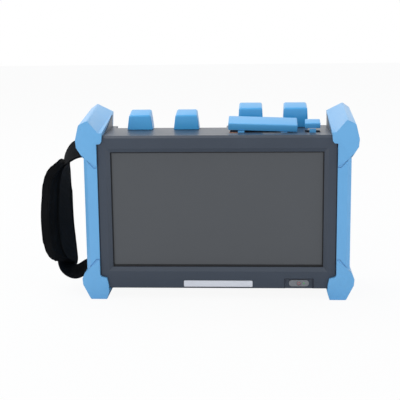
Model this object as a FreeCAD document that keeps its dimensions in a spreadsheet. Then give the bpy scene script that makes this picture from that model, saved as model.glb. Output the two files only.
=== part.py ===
import FreeCAD, Part
import math
import os
import re

import Sketcher
from FreeCAD import Placement, Rotation, Vector

# Optical time domain reflectometer: a hand-held tester for fibre lines.
# A two-shell slate housing holds an 8 inch screen, the boards, the optical
# module and the battery.  Rubber bumpers wrap both sides, rubber caps and
# flip covers close the ports on top, and a padded hand strap hangs on the left.
#
# Millimetres.  X runs to the viewer's right, Y from the viewer to the back,
# Z up.  While a piece is drawn, x = 0 is the middle of the housing, y = 0 the
# front face of the bezel and z = 0 the surface that the bumper feet stand on.
# Placement then moves every piece so that the origin is below the middle of
# the whole object, strap included.

SIZES = {
    # housing shells
    "side_border": 19.0,
    "bottom_border": 18.6,
    "top_border": 14.2,
    "body_base": 9.1,
    "body_depth": 67.0,
    "body_corner": 5.0,
    "seam_depth": 12.0,
    "seam_gap": 0.3,
    "wall": 2.5,
    "bezel_thickness": 3.0,
    "top_chamfer": 2.0,
    "edge_chamfer": 0.8,
    # screen
    "window_width": 181.0,
    "window_tall": 100.2,
    "bevel_width": 3.5,
    "bevel_depth": 2.0,
    "gasket_lap": 0.8,
    "gasket_rim": 4.0,
    "gasket_thickness": 0.8,
    "panel_thickness": 1.8,
    "lcd_rim": 4.0,
    "lcd_thickness": 5.0,
    "bracket_thickness": 1.0,
    "bracket_rim": 9.0,
    "screen_gap": 0.1,
    "boss_radius": 3.5,
    "boss_inset": 6.0,
    "pilot_radius": 1.2,
    "screw_radius": 1.3,
    # label, indicator and power key on the bezel
    "label_left": 29.2,
    "label_right": 30.1,
    "label_base": 10.5,
    "label_tall": 5.5,
    "label_depth": 0.5,
    "label_gap": 0.2,
    "pill_mid": 69.9,
    "pill_height": 13.8,
    "pill_length": 17.1,
    "pill_tall": 5.6,
    "pill_thickness": 1.0,
    "pill_recess": 1.2,
    "recess_side": 3.3,
    "recess_over": 0.9,
    "key_radius": 2.0,
    "key_proud": 0.4,
    "key_travel": 0.6,
    "stem_radius": 1.2,
    "stem_reach": 6.0,
    "lens_radius": 0.7,
    "lens_offset": 4.2,
    "running_gap": 0.05,
    "switch_side": 4.0,
    "switch_tall": 3.6,
    # hand relief along the back of the top, left half
    "relief_run": 15.0,
    "relief_drop": 18.0,
    "relief_margin": 17.5,
    "relief_right": 7.0,
    # ears that carry the bumpers' top corners
    "ear_width": 13.7,
    "ear_front": 14.0,
    "ear_back": 60.0,
    "ear_rise": 11.0,
    # battery bay and its cover
    "bay_half": 55.0,
    "bay_base": 30.0,
    "bay_tall": 62.5,
    "bay_depth": 25.0,
    "bay_rim": 4.0,
    "bay_cover": 2.5,
    "cover_gap": 0.3,
    "battery_gap": 0.5,
    "cell_gap": 0.4,
    "back_wall": 8.5,
    "relief_wall": 4.1,
    # kickstand
    "stand_clear": 3.0,
    "stand_arm": 12.0,
    "stand_lift": 6.9,
    "stand_bar": 8.5,
    "stand_rise": 3.5,
    "stand_thickness": 5.0,
    "stand_gap": 0.5,
    "stand_pin": 1.5,
    "stand_pin_grip": 3.5,
    # bumpers
    "bumper_gap": 0.2,
    "lip_proud": 3.2,
    "back_lip": 2.8,
    "strip_proud": 1.6,
    "strip_out": 3.7,
    "strip_lap": 8.0,
    "strip_chamfer": 3.5,
    "block_out": 9.7,
    "bumper_round": 1.5,
    # optical ports and their caps
    "cap_width": 22.2,
    "cap_taper": 2.1,
    "cap_taper_tall": 1.0,
    "cap_depth": 17.5,
    "cap_wall": 2.0,
    "cap_lift": 0.3,
    "cap_tall": 12.6,
    "cap_extra": 4.3,
    "cap_slope": 3.6,
    "cap_round": 1.1,
    "bead_radius": 1.2,
    "bead_gap": 0.3,
    "bead_offset": 1.3,
    "tether_width": 9.0,
    "tether_thickness": 1.6,
    "tether_length": 11.0,
    "port_one": 68.6,
    "port_two": 27.8,
    "port_three": 28.4,
    "port_four": 68.0,
    "ledge": 3.0,
    "well_gap": 0.3,
    "well_depth": 14.0,
    "adapter_side": 10.0,
    "flange_width": 12.0,
    "flange_depth": 11.0,
    "flange_thickness": 1.2,
    "barrel_radius": 4.0,
    "barrel_tall": 7.0,
    "ferrule_radius": 1.25,
    "ferrule_depth": 12.0,
    # data and power ports with their flip covers
    "usb_b_offset": -20.0,
    "usb_b_width": 12.0,
    "usb_b_depth": 10.6,
    "usb_b_shell": 1.2,
    "usb_a_offset": -2.0,
    "usb_a_width": 13.2,
    "usb_a_depth": 5.8,
    "usb_a_shell": 0.4,
    "network_offset": 18.0,
    "network_width": 15.9,
    "network_depth": 13.4,
    "network_shell": 1.2,
    "socket_base": 3.0,
    "port_depth": 14.0,
    "port_gap": 0.2,
    "port_floor": 1.5,
    "floor_rim": 1.5,
    "stem_room": 4.0,
    "board_thickness": 1.6,
    "board_standoff": 2.0,
    "board_drop": 3.5,
    "spacer_radius": 2.4,
    "data_pitch": 42.7,
    "data_width": 59.0,
    "data_depth": 18.0,
    "data_cover": 6.2,
    "deck_clear": 3.5,
    "data_lift": 1.3,
    "data_tilt": 1.9,
    "power_inset": 28.0,
    "power_width": 13.0,
    "power_depth": 10.4,
    "power_cover": 4.6,
    "power_setback": 2.0,
    "power_lift": 3.2,
    "cover_slope": 14.5,
    "cover_round": 0.6,
    "tab_width": 5.5,
    "tab_thickness": 1.5,
    "tab_gap": 0.3,
    "jack_radius": 4.6,
    "jack_bore": 3.2,
    "jack_pin": 0.9,
    "jack_pin_tall": 5.0,
    # inner pieces
    "spool_radius": 19.0,
    "spool_core": 12.0,
    "spool_thickness": 8.0,
    "spool_flange": 1.0,
    "speaker_inset": 18.5,
    "speaker_height": 40.0,
    "speaker_radius": 12.0,
    "speaker_depth": 6.5,
    "magnet_depth": 4.0,
    # hand strap
    "strap_out": 44.1,
    "strap_mid": 31.0,
    "webbing_width": 25.0,
    "webbing_thickness": 2.2,
    "webbing_gap": 1.0,
    "bar_radius": 1.5,
    "bar_depth": 3.5,
    "bar_grip": 2.4,
    "bar_inset": 16.1,
    "bar_lift": 10.9,
    "slot_tall": 9.0,
    "slot_deep": 7.0,
    "pad_front": 5.0,
    "pad_back": 56.0,
    "pad_thickness": 7.0,
}

# Sizes that follow from the ones above: the housing is drawn round its screen,
# and the bumpers, ears, strap and sockets are placed from the housing's sides.
FOLLOWING = {
    "body_width": "window_width + 2 * side_border",
    "window_base": "body_base + bottom_border",
    "window_top": "window_base + window_tall",
    "body_top": "window_top + top_border",
    "relief_start": "body_depth - relief_run",
    "relief_left": "body_width / 2 - relief_margin",
    "ear_inner": "body_width / 2 - ear_width",
    "bay_front": "body_depth - bay_depth",
    "bay_top": "bay_base + bay_tall",
    "cavity_back": "body_depth - back_wall",
    "cavity_top": "body_top - relief_drop - relief_wall",
    "stand_inner": "bay_half + bay_rim + stand_clear",
    "stand_outer": "stand_inner + stand_arm",
    "stand_base": "body_base + stand_lift",
    "stand_axis": "bay_top + bay_rim + stand_rise",
    "strip_reach": "body_width / 2 + strip_out",
    "strip_inner": "body_width / 2 - strip_lap",
    "block_reach": "body_width / 2 + block_out",
    "power_mid": "body_width / 2 - power_inset",
    "data_mid": "power_mid - data_pitch",
    "data_hinge": "bay_front - wall - deck_clear - data_depth",
    "power_hinge": "data_hinge + power_setback",
    "speaker_mid": "body_width / 2 - speaker_inset",
    "strap_reach": "body_width / 2 + strap_out",
    "bar_upper": "body_top - bar_inset",
    "bar_lower": "body_base + bar_lift",
}

doc = FreeCAD.newDocument("reflectometer")
sheet = doc.addObject("Spreadsheet::Sheet", "Sizes")
cells = {**SIZES, **{name: "=" + formula for name, formula in FOLLOWING.items()}}
for row, (name, value) in enumerate(cells.items(), 1):
    sheet.set(f"A{row}", name)
    sheet.set(f"B{row}", str(value))
    sheet.setAlias(f"B{row}", name)
doc.recompute()

parts = []


# ---- formulas and placement ------------------------------------------------

def link(formula):
    """Write a formula of size names as an expression that reads the sheet."""
    def cell(word):
        return "Sizes." + word.group() if word.group() in cells else word.group()
    return re.sub(r"[a-z][a-z_]*", cell, str(formula))


def number(formula):
    """The value of a formula of size names."""
    return float(sheet.evalExpression(link(formula)))


FRAME_X = "(strap_reach - block_reach) / 2"
FRAME_Y = "(lip_proud - body_depth - back_lip) / 2"


def bind(thing, prop, formula):
    thing.setExpression(prop, link(formula))


def place(part, label, x=0, y=0, z=0):
    """Give a sub-part its label and its place in the object's own frame."""
    part.Label = label
    bind(part, "Placement.Base.x", f"{FRAME_X} + {x}")
    bind(part, "Placement.Base.y", f"{FRAME_Y} + {y}")
    bind(part, "Placement.Base.z", z)
    parts.append(part)
    return part


def shaped(label, shape):
    """A sub-part whose shape is worked out here from the sheet's sizes."""
    part = doc.addObject("Part::Feature", label)
    part.Shape = shape
    return place(part, label)


# ---- sketches and features of a PartDesign body -----------------------------

def new_body(label, x=0, y=0, z=0):
    return place(doc.addObject("PartDesign::Body", label), label, x, y, z)


def sketch_on(body, role, offset=0):
    """A sketch on one of the body's own planes, moved along the global axis."""
    sketch = body.newObject("Sketcher::SketchObject", "Profile")
    plane = [item for item in body.Origin.OriginFeatures if item.Role == role][0]
    sketch.AttachmentSupport = [(plane, "")]
    sketch.MapMode = "FlatFace"
    sign = "-" if role == "XZ_Plane" else ""
    bind(sketch, "AttachmentOffset.Base.z", f"{sign}({offset})")
    return sketch


def fix_point(sketch, geometry, end, x, y):
    for kind, formula in (("DistanceX", x), ("DistanceY", y)):
        rule = Sketcher.Constraint(kind, -1, 1, geometry, end, number(formula))
        index = sketch.addConstraint(rule)
        bind(sketch, f"Constraints[{index}]", formula)


def draw_polygon(sketch, corners):
    first = sketch.GeometryCount
    points = [Vector(number(x), number(y), 0) for x, y in corners]
    count = len(points)
    for i in range(count):
        sketch.addGeometry(Part.LineSegment(points[i], points[(i + 1) % count]))
    for i in range(count):
        joined = first + (i + 1) % count
        sketch.addConstraint(Sketcher.Constraint("Coincident", first + i, 2, joined, 1))
    for i, (x, y) in enumerate(corners):
        fix_point(sketch, first + i, 1, x, y)


def draw_box(sketch, left, right, low, high):
    draw_polygon(sketch, [(left, low), (right, low), (right, high), (left, high)])


def draw_circle(sketch, x, y, radius):
    centre = Vector(number(x), number(y), 0)
    ring = sketch.addGeometry(Part.Circle(centre, Vector(0, 0, 1), number(radius)))
    rule = sketch.addConstraint(Sketcher.Constraint("Radius", ring, number(radius)))
    bind(sketch, f"Constraints[{rule}]", radius)
    fix_point(sketch, ring, 3, x, y)


def extrude(body, role, start, length, draw, cut=False):
    """Pad or pocket from start along +X, +Y or +Z, checked by its volume."""
    before = body.Shape.Volume if body.Tip else 0
    sketch = sketch_on(body, role, start)
    draw(sketch)
    kind = "Pocket" if cut else "Pad"
    feature = body.newObject("PartDesign::" + kind, kind)
    feature.Profile = sketch
    bind(feature, "Length", length)
    feature.Reversed = (role == "XZ_Plane") != cut
    doc.recompute()
    change = body.Shape.Volume - before
    if (change > 0) == cut or abs(change) < 1e-3:
        raise ValueError(f"{body.Label}: a {kind} changed nothing")
    return feature


def block(body, role, start, length, left, right, low, high, cut=False):
    def draw(sketch):
        draw_box(sketch, left, right, low, high)
    return extrude(body, role, start, length, draw, cut)


def drum(body, role, start, length, x, y, radius, cut=False):
    def draw(sketch):
        draw_circle(sketch, x, y, radius)
    return extrude(body, role, start, length, draw, cut)


def runs_along(edge, axis):
    """True for a straight edge parallel to a global axis."""
    if edge.Curve.TypeId != "Part::GeomLine":
        return False
    return abs(abs(edge.Curve.Direction.dot(axis)) - 1) < 1e-6


def at(edge, x=None, y=None, z=None):
    """True for an edge that lies at every coordinate that is given."""
    box = edge.BoundBox
    ranges = ((x, box.XMin, box.XMax), (y, box.YMin, box.YMax), (z, box.ZMin, box.ZMax))
    return all(want is None or (abs(low - want) < 0.01 and abs(high - want) < 0.01)
               for want, low, high in ranges)


def soften(body, kind, size, chosen):
    """Fillet or chamfer the edges of the last feature that chosen() accepts."""
    base = body.Tip
    names = [f"Edge{i}" for i, edge in enumerate(base.Shape.Edges, 1) if chosen(edge)]
    feature = body.newObject("PartDesign::" + kind, kind)
    if not names:
        raise ValueError(f"{body.Label}: no edge for a {kind}")
    feature.Base = (base, names)
    bind(feature, "Radius" if kind == "Fillet" else "Size", size)
    doc.recompute()
    return feature


X_AXIS = Vector(1, 0, 0)
Y_AXIS = Vector(0, 1, 0)
Z_AXIS = Vector(0, 0, 1)
HALF = "body_width / 2"
REAR_START = "seam_depth + seam_gap"
DECK_START = "bay_front - wall"


# ---- front shell -------------------------------------------------------------

BOSS_X = "body_width / 2 - wall - boss_inset"
BOSS_LOW = "window_base - boss_inset"
BOSS_HIGH = "window_top + boss_inset"
BRACKET_Y = ("bezel_thickness + gasket_thickness + panel_thickness + lcd_thickness"
             " + 3 * screen_gap")


def make_front_housing():
    body = new_body("front_housing")
    block(body, "XZ_Plane", 0, "seam_depth", f"-{HALF}", HALF, "body_base", "body_top")
    top, base = number("body_top"), number("body_base")
    soften(body, "Chamfer", "top_chamfer", lambda edge: at(edge, y=0, z=top))
    soften(body, "Chamfer", "edge_chamfer", lambda edge: at(edge, y=0, z=base))
    soften(body, "Fillet", "body_corner", lambda edge: runs_along(edge, Y_AXIS))
    # sloping bevel round the screen, then the window itself
    outer = sketch_on(body, "XZ_Plane", 0)
    draw_box(outer, "-window_width / 2 - bevel_width", "window_width / 2 + bevel_width",
             "window_base - bevel_width", f"window_top + bevel_width")
    inner = sketch_on(body, "XZ_Plane", "bevel_depth")
    draw_box(inner, "-window_width / 2", "window_width / 2", "window_base", "window_top")
    bevel = body.newObject("PartDesign::SubtractiveLoft", "Bevel")
    bevel.Profile = outer
    bevel.Sections = [inner]
    bevel.Ruled = True
    block(body, "XZ_Plane", "bevel_depth", "bezel_thickness - bevel_depth",
          "-window_width / 2", "window_width / 2", "window_base", "window_top", cut=True)
    # hollow behind the bezel
    block(body, "XZ_Plane", "bezel_thickness", "seam_depth - bezel_thickness",
          f"-{HALF} + wall", f"{HALF} - wall", "body_base + wall", "body_top - wall", cut=True)
    # shallow seats for the label and for the power key's pill
    block(body, "XZ_Plane", 0, "label_depth", "-label_left - label_gap", "label_right + label_gap",
          "label_base - label_gap", "label_base + label_tall + label_gap", cut=True)
    block(body, "XZ_Plane", 0, "pill_recess", "pill_mid - pill_length / 2 - recess_side",
          "pill_mid + pill_length / 2 + recess_side", "body_base - 1",
          "pill_height + pill_tall / 2 + recess_over", cut=True)
    drum(body, "XZ_Plane", "pill_recess", "key_travel + 0.1", "pill_mid", "pill_height",
         "key_radius + 0.1", cut=True)
    drum(body, "XZ_Plane", 0, "bezel_thickness", "pill_mid", "pill_height",
         "stem_radius + running_gap", cut=True)
    drum(body, "XZ_Plane", 0, "bezel_thickness", "pill_mid + lens_offset", "pill_height",
         "lens_radius + running_gap", cut=True)
    # screw bosses for the screen bracket
    for side in ("-", ""):
        for height in (BOSS_LOW, BOSS_HIGH):
            drum(body, "XZ_Plane", "bezel_thickness", f"{BRACKET_Y} - bezel_thickness",
                 f"{side}({BOSS_X})", height, "boss_radius")
            drum(body, "XZ_Plane", "bezel_thickness + 1", f"{BRACKET_Y} - bezel_thickness - 1",
                 f"{side}({BOSS_X})", height, "pilot_radius", cut=True)
    return body


# ---- rear shell --------------------------------------------------------------

EDGE_IN = "body_width / 2 - wall"
PIN_Y = "body_depth - stand_thickness / 2 - 0.3"
CAP_LEFT_Y = "relief_start + bead_radius + 2"
CAP_RIGHT_Y = "body_depth + bead_offset"
HINGE_Z = "body_top + cap_lift + bead_radius / 2"
# every optical port: sign and name of its X, and the Y of its cap's hinge
PORTS = [("-port_one", CAP_LEFT_Y), ("-port_two", CAP_LEFT_Y),
         ("port_three", CAP_RIGHT_Y), ("port_four", CAP_RIGHT_Y)]
# data sockets under the long cover
SOCKETS = ("usb_b", "usb_a", "network")
SOCKET_Y = "data_hinge + data_depth / 2"
SCREW_X = "body_width / 2 - wall - 18"
SCREW_HEIGHTS = ("body_base + 8", "cavity_top - 8")
JACK_Y = "power_hinge + power_depth / 2"
# slots in the left side that the webbing passes through
SLOT_START = "strap_mid - webbing_width / 2 - webbing_gap"
SLOT_WIDE = "webbing_width + 2 * webbing_gap"


def port_y(hinge):
    return f"{hinge} - cap_depth / 2"


def hand_relief(body):
    """Slope along the back of the left half's top edge, where the fingers go."""
    def slope(sketch):
        draw_polygon(sketch, [
            ("relief_start", "body_top"), ("body_depth", "body_top - relief_drop"),
            ("body_depth + 1", "body_top - relief_drop"), ("body_depth + 1", "body_top + 1"),
            ("relief_start", "body_top + 1")])
    extrude(body, "YZ_Plane", "-relief_left", "relief_left + relief_right", slope, cut=True)


def make_adapter_deck():
    """Thick moulding that closes the back of the top and holds the optical adapters."""
    body = new_body("adapter_deck")
    block(body, "XY_Plane", "body_top - well_depth", "well_depth", "-ear_inner", "ear_inner",
          DECK_START, "body_depth")
    back, top = number("body_depth"), number("body_top")
    soften(body, "Chamfer", "edge_chamfer", lambda edge: at(edge, y=back, z=top))
    hand_relief(body)
    for x, hinge in PORTS:
        y, side = port_y(hinge), "(adapter_side / 2 + well_gap)"
        block(body, "XY_Plane", "body_top - well_depth", "well_depth",
              f"{x} - {side}", f"{x} + {side}", f"{y} - {side}", f"{y} + {side}", cut=True)


def make_socket_panel():
    """Plate over the socket board, recessed under the flip covers and cut out for each socket."""
    body = new_body("socket_panel")
    block(body, "XY_Plane", "body_top - wall", "wall", "-ear_inner", "ear_inner",
          REAR_START, DECK_START)
    block(body, "XY_Plane", "body_top - port_floor", "port_floor",
          "data_mid - data_width / 2 + floor_rim", "data_mid + data_width / 2 - floor_rim",
          "data_hinge + floor_rim", "data_hinge + data_depth - floor_rim", cut=True)
    block(body, "XY_Plane", "body_top - port_floor", "port_floor",
          "power_mid - power_width / 2", "power_mid + power_width / 2",
          "power_hinge - stem_room", "power_hinge + power_depth + 1", cut=True)
    for name in SOCKETS:
        x, y = f"data_mid + {name}_offset", SOCKET_Y
        across, along = f"({name}_width / 2 + port_gap)", f"({name}_depth / 2 + port_gap)"
        block(body, "XY_Plane", "body_top - wall", "wall - port_floor",
              f"{x} - {across}", f"{x} + {across}", f"{y} - {along}", f"{y} + {along}", cut=True)
    drum(body, "XY_Plane", "body_top - wall", "wall - port_floor", "power_mid", JACK_Y,
         "jack_radius + port_gap", cut=True)


def make_rear_housing():
    body = new_body("rear_housing")
    block(body, "XZ_Plane", REAR_START, f"body_depth - ({REAR_START})",
          f"-{HALF}", HALF, "body_base", "body_top")
    soften(body, "Fillet", "body_corner", lambda edge: runs_along(edge, Y_AXIS))
    soften(body, "Chamfer", "edge_chamfer", lambda edge: at(edge, y=number("body_depth")))
    hand_relief(body)

    # ears: wedges that rise to the back at both ends of the top
    def ear(sketch):
        draw_polygon(sketch, [("ear_front", "body_top - 2"), ("ear_back", "body_top - 2"),
                              ("ear_back", "body_top + ear_rise"), ("ear_front", "body_top")])
    thickness = f"{HALF} - ear_inner"
    extrude(body, "YZ_Plane", "ear_inner", f"{thickness} - bumper_gap", ear)
    extrude(body, "YZ_Plane", f"-{HALF} + bumper_gap", f"{thickness} - bumper_gap", ear)

    # cavity in front, then the deeper part round the battery bay
    block(body, "XZ_Plane", REAR_START, f"bay_front - wall - ({REAR_START})",
          f"-({EDGE_IN})", EDGE_IN, "body_base + wall", "body_top - wall", cut=True)

    def round_bay(sketch):
        side = "bay_half + wall"
        top = "bay_top + wall"
        draw_polygon(sketch, [
            (f"-({EDGE_IN})", "body_base + wall"), (f"-({side})", "body_base + wall"),
            (f"-({side})", top), (side, top), (side, "body_base + wall"),
            (EDGE_IN, "body_base + wall"), (EDGE_IN, "cavity_top"), (f"-({EDGE_IN})", "cavity_top")])
    extrude(body, "XZ_Plane", "bay_front - wall", "cavity_back - bay_front + wall", round_bay, cut=True)

    # battery bay with the rebate that its cover sits in
    block(body, "XZ_Plane", "bay_front", "body_depth - bay_front",
          "-bay_half", "bay_half", "bay_base", "bay_top", cut=True)
    block(body, "XZ_Plane", "body_depth - bay_cover", "bay_cover", "-bay_half - bay_rim",
          "bay_half + bay_rim", "bay_base - bay_rim", "bay_top + bay_rim", cut=True)

    # U-shaped groove that the kickstand folds into, and the holes of its pins
    def groove(sketch):
        outer, inner = "stand_outer + stand_gap", "stand_inner - stand_gap"
        low, mid = "stand_base - stand_gap", "stand_base + stand_bar + stand_gap"
        high = "stand_axis + stand_thickness / 2 + stand_gap"
        draw_polygon(sketch, [
            (f"-({outer})", low), (outer, low), (outer, high), (inner, high), (inner, mid),
            (f"-({inner})", mid), (f"-({inner})", high), (f"-({outer})", high)])
    extrude(body, "XZ_Plane", "body_depth - stand_thickness - 0.6", "stand_thickness + 0.6",
            groove, cut=True)
    pin_length = "stand_arm + 2 * stand_gap + stand_pin_grip"
    for start in ("stand_inner - stand_gap", "-stand_outer - stand_gap - stand_pin_grip"):
        drum(body, "YZ_Plane", start, pin_length, PIN_Y, "stand_axis",
             "stand_pin + running_gap", cut=True)

    # seat of the adapter deck, and the opening with two ledges for the socket panel
    block(body, "XY_Plane", "body_top - well_depth", "well_depth + 1", "-ear_inner", "ear_inner",
          DECK_START, "body_depth + 1", cut=True)
    block(body, "XY_Plane", "body_top - wall", "wall + 1", "-ear_inner", "ear_inner",
          f"{REAR_START} - 1", DECK_START, cut=True)
    for start in ("ear_inner - ledge", f"-({EDGE_IN})"):
        block(body, "YZ_Plane", start, f"{EDGE_IN} - ear_inner + ledge", REAR_START, DECK_START,
              "body_top - 2 * wall", "body_top - wall")

    # pockets in the left side where the strap loops round its bars
    for height in ("bar_upper", "bar_lower"):
        block(body, "XZ_Plane", f"{SLOT_START} - bar_grip - 1", f"{SLOT_WIDE} + 2 * bar_grip + 2",
              f"-{HALF}", f"-{HALF} + slot_deep + wall",
              f"{height} - slot_tall / 2 - wall", f"{height} + slot_tall / 2 + wall")
        block(body, "XZ_Plane", SLOT_START, SLOT_WIDE, f"-{HALF} - 1", f"-{HALF} + slot_deep",
              f"{height} - slot_tall / 2", f"{height} + slot_tall / 2", cut=True)
        drum(body, "XZ_Plane", f"{SLOT_START} - bar_grip", f"{SLOT_WIDE} + 2 * bar_grip",
             f"-{HALF} + bar_depth", height, "bar_radius + running_gap", cut=True)

    # holes of the screws that hold the shells together
    for side in (-1, 1):
        for height in SCREW_HEIGHTS:
            drum(body, "XZ_Plane", "cavity_back - 1", "body_depth - cavity_back + 2",
                 f"{side} * ({SCREW_X})", height, "screw_radius", cut=True)

    # speaker grille: slots through the back wall
    for step in range(-2, 3):
        block(body, "XZ_Plane", "cavity_back - 1", "body_depth - cavity_back + 2",
              f"-speaker_mid + {step} * 3.2 - 0.8", f"-speaker_mid + {step} * 3.2 + 0.8",
              "speaker_height - speaker_radius * 0.6", "speaker_height + speaker_radius * 0.6", cut=True)
    return body


# ---- bumpers: moulded rubber boots that grip both sides ----------------------

def loft_block(front, back, start, finish):
    """A solid between two outlines in the XZ plane, at y = start and y = finish."""
    wires = []
    for outline, y in ((front, start), (back, finish)):
        points = [Vector(x, y, z) for x, z in outline]
        wires.append(Part.makePolygon(points + points[:1]))
    return Part.makeLoft(wires, True, True)


def crosses(edge, start, finish):
    """True for an edge that runs from the front outline to the back one."""
    box = edge.BoundBox
    return box.YMin < start + 0.01 and box.YMax > finish - 0.01


def right_bumper_shape():
    """Strip down the side with a stepped corner block at each end, less the housing."""
    size = {name: number(name) for name in cells}
    half = size["body_width"] / 2
    top, base = size["body_top"], size["body_base"]
    start = -size["lip_proud"]
    finish = size["body_depth"] + size["back_lip"]
    reach, inner = size["block_reach"], size["strip_inner"]
    strip, cut = size["strip_reach"], size["strip_chamfer"]
    ear, rise = size["ear_inner"], size["ear_rise"]

    # side strip: a channel with a chamfered outer front edge
    front_y, back_y = -size["strip_proud"], size["body_depth"] + size["strip_proud"]
    channel = Part.makePolygon([
        Vector(inner, front_y, base), Vector(strip - cut, front_y, base),
        Vector(strip, front_y + cut, base), Vector(strip, back_y - cut, base),
        Vector(strip - cut, back_y, base), Vector(inner, back_y, base), Vector(inner, front_y, base)])
    side = Part.Face(channel).extrude(Vector(0, 0, top - base - 2))

    # top block: its upper face climbs to the back and slopes in towards the ear
    lower = [(inner, top - 26), (strip + 0.2, top - 17.8), (reach - 0.6, top - 9.6)]
    lip_front = [(ear + 0.6, top + 2.6), (ear + 1.3, top - 4.7), (ear + 2.7, top - 6.5), (inner, top - 6.8)]
    lip_back = [(ear + 0.3, top + rise + 1.9)] + lip_front[1:]
    front = lower + [(reach, top - 3), (reach - 3, top + 9.4), (half - 0.7, top + 13.2),
                     (ear + 3.8, top + 2.6)] + lip_front
    back = lower + [(reach, top + 2), (reach - 2.6, top + 15.6), (half + 0.9, top + 20),
                    (ear + 0.7, top + rise + 2.1)] + lip_back
    upper_block = loft_block(front, back, start, finish)

    # bottom block with the foot that the object stands on
    foot = [(half + 0.5, 0), (half + 7, base + 3.8), (half + 7.5, base + 9.1), (half + 5.2, base + 14.5),
            (strip + 0.1, base + 16.2), (inner, base + 25.8), (inner, base + 12.2),
            (half - 9.2, base + 10.8), (half - 13.8, base + 9.6), (half - 15, base + 4.4),
            (half - 15.5, base - 2.5), (half - 13.5, 0)]
    lower_block = loft_block(foot, foot, start, finish)

    rounded = []
    for solid, radius in ((upper_block, size["bumper_round"]), (lower_block, size["bumper_round"])):
        outer = [edge for edge in solid.Edges if crosses(edge, start, finish)
                 and max(vertex.Point.x for vertex in edge.Vertexes) > half]
        rounded.append(solid.makeFillet(radius, outer))
    gap = size["bumper_gap"]
    housing = Part.makeBox(2 * half + 2 * gap, size["body_depth"] + 2 * gap, top - base + 2 * gap,
                           Vector(-half - gap, -gap, base - gap))
    near, far = size["ear_front"] - gap, size["ear_back"] + gap
    wedge = Part.makePolygon([
        Vector(ear - gap, y, z) for y, z in ((near, top - 2), (far, top - 2), (far, top + rise + gap),
                                             (near, top + gap), (near, top - 2))])
    ears = Part.Face(wedge).extrude(Vector(half - ear + gap, 0, 0))
    return side.fuse(rounded).cut([housing, ears]).removeSplitter()


def make_bumpers():
    right = right_bumper_shape()
    left = right.mirror(Vector(0, 0, 0), X_AXIS)
    reach, wide, tall = number("block_reach"), number(SLOT_WIDE), number("slot_tall")
    windows = []
    for height in ("bar_upper", "bar_lower"):
        corner = Vector(-reach - 1, number(SLOT_START), number(height) - tall / 2)
        windows.append(Part.makeBox(reach - number(HALF) + 2, wide, tall, corner))
    shaped("bumper_right", right)
    shaped("bumper_left", left.cut(windows))


# ---- screen: gasket, glass, display and the bracket behind them --------------

GASKET_Y = "bezel_thickness"
PANEL_Y = f"{GASKET_Y} + gasket_thickness + screen_gap"
LCD_Y = f"{PANEL_Y} + panel_thickness + screen_gap"
BOARD_Y = f"{BRACKET_Y} + bracket_thickness + board_standoff"


def sheet_plate(label, start, thickness, rim):
    """A rectangular plate that covers the screen window by rim on every side."""
    body = new_body(label)
    block(body, "XZ_Plane", start, thickness, f"-window_width / 2 - {rim}", f"window_width / 2 + {rim}",
          f"window_base - {rim}", f"window_top + {rim}")
    return body


def make_screen():
    gasket = sheet_plate("screen_gasket", GASKET_Y, "gasket_thickness", "gasket_rim")
    block(gasket, "XZ_Plane", GASKET_Y, "gasket_thickness", "-window_width / 2 + gasket_lap",
          "window_width / 2 - gasket_lap", "window_base + 2 * gasket_lap",
          f"window_top - gasket_lap", cut=True)
    sheet_plate("touch_panel", PANEL_Y, "panel_thickness", "gasket_rim")
    lcd = sheet_plate("lcd_module", LCD_Y, "lcd_thickness", "lcd_rim")
    soften(lcd, "Chamfer", "edge_chamfer", lambda edge: at(edge, y=number(f"{LCD_Y} + lcd_thickness")))
    bracket = new_body("lcd_bracket")
    block(bracket, "XZ_Plane", BRACKET_Y, "bracket_thickness", f"-({BOSS_X}) - boss_radius",
          f"{BOSS_X} + boss_radius", f"{BOSS_LOW} - boss_radius", f"{BOSS_HIGH} + boss_radius")
    for share in (-0.25, 0.25):
        middle = f"{share} * window_width"
        block(bracket, "XZ_Plane", BRACKET_Y, "bracket_thickness",
              f"{middle} - window_width / 5", f"{middle} + window_width / 5",
              "window_base + bracket_rim", "window_top - bracket_rim", cut=True)
    screws = []
    for side in (-1, 1):
        for height in (BOSS_LOW, BOSS_HIGH):
            x, z = side * number(BOSS_X), number(height)
            drum(bracket, "XZ_Plane", BRACKET_Y, "bracket_thickness", f"{side} * ({BOSS_X})", height,
                 "pilot_radius + 0.3", cut=True)
            screws.append(screw(Vector(x, number(f"{BRACKET_Y} + bracket_thickness"), z),
                                Vector(0, -1, 0), number("pilot_radius"), 5))
    shaped("bracket_screws", Part.makeCompound(screws))


def rod(base, along, radius, length, sides=12):
    """A many-sided rod, for small or hidden round pieces that need no true cylinder."""
    turn = Rotation(Z_AXIS, along)
    corners = []
    for step in range(sides):
        angle = 2 * math.pi * step / sides
        corners.append(base + turn.multVec(Vector(math.cos(angle), math.sin(angle), 0)) * radius)
    face = Part.Face(Part.makePolygon(corners + corners[:1]))
    return face.extrude(along * length)


def screw(seat, direction, radius, length):
    """A pan head and a plain shank, seated at a point."""
    head_tall = 1.1 * radius
    head = rod(seat - direction * head_tall, direction, 1.9 * radius, head_tall)
    shank = rod(seat, direction, radius - 0.05, length)
    return head.fuse(shank).removeSplitter()


# ---- label, pill, key and status light ----------------------------------------

KEY_BOARD_Y = "seam_depth - board_thickness - 0.2"


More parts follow.
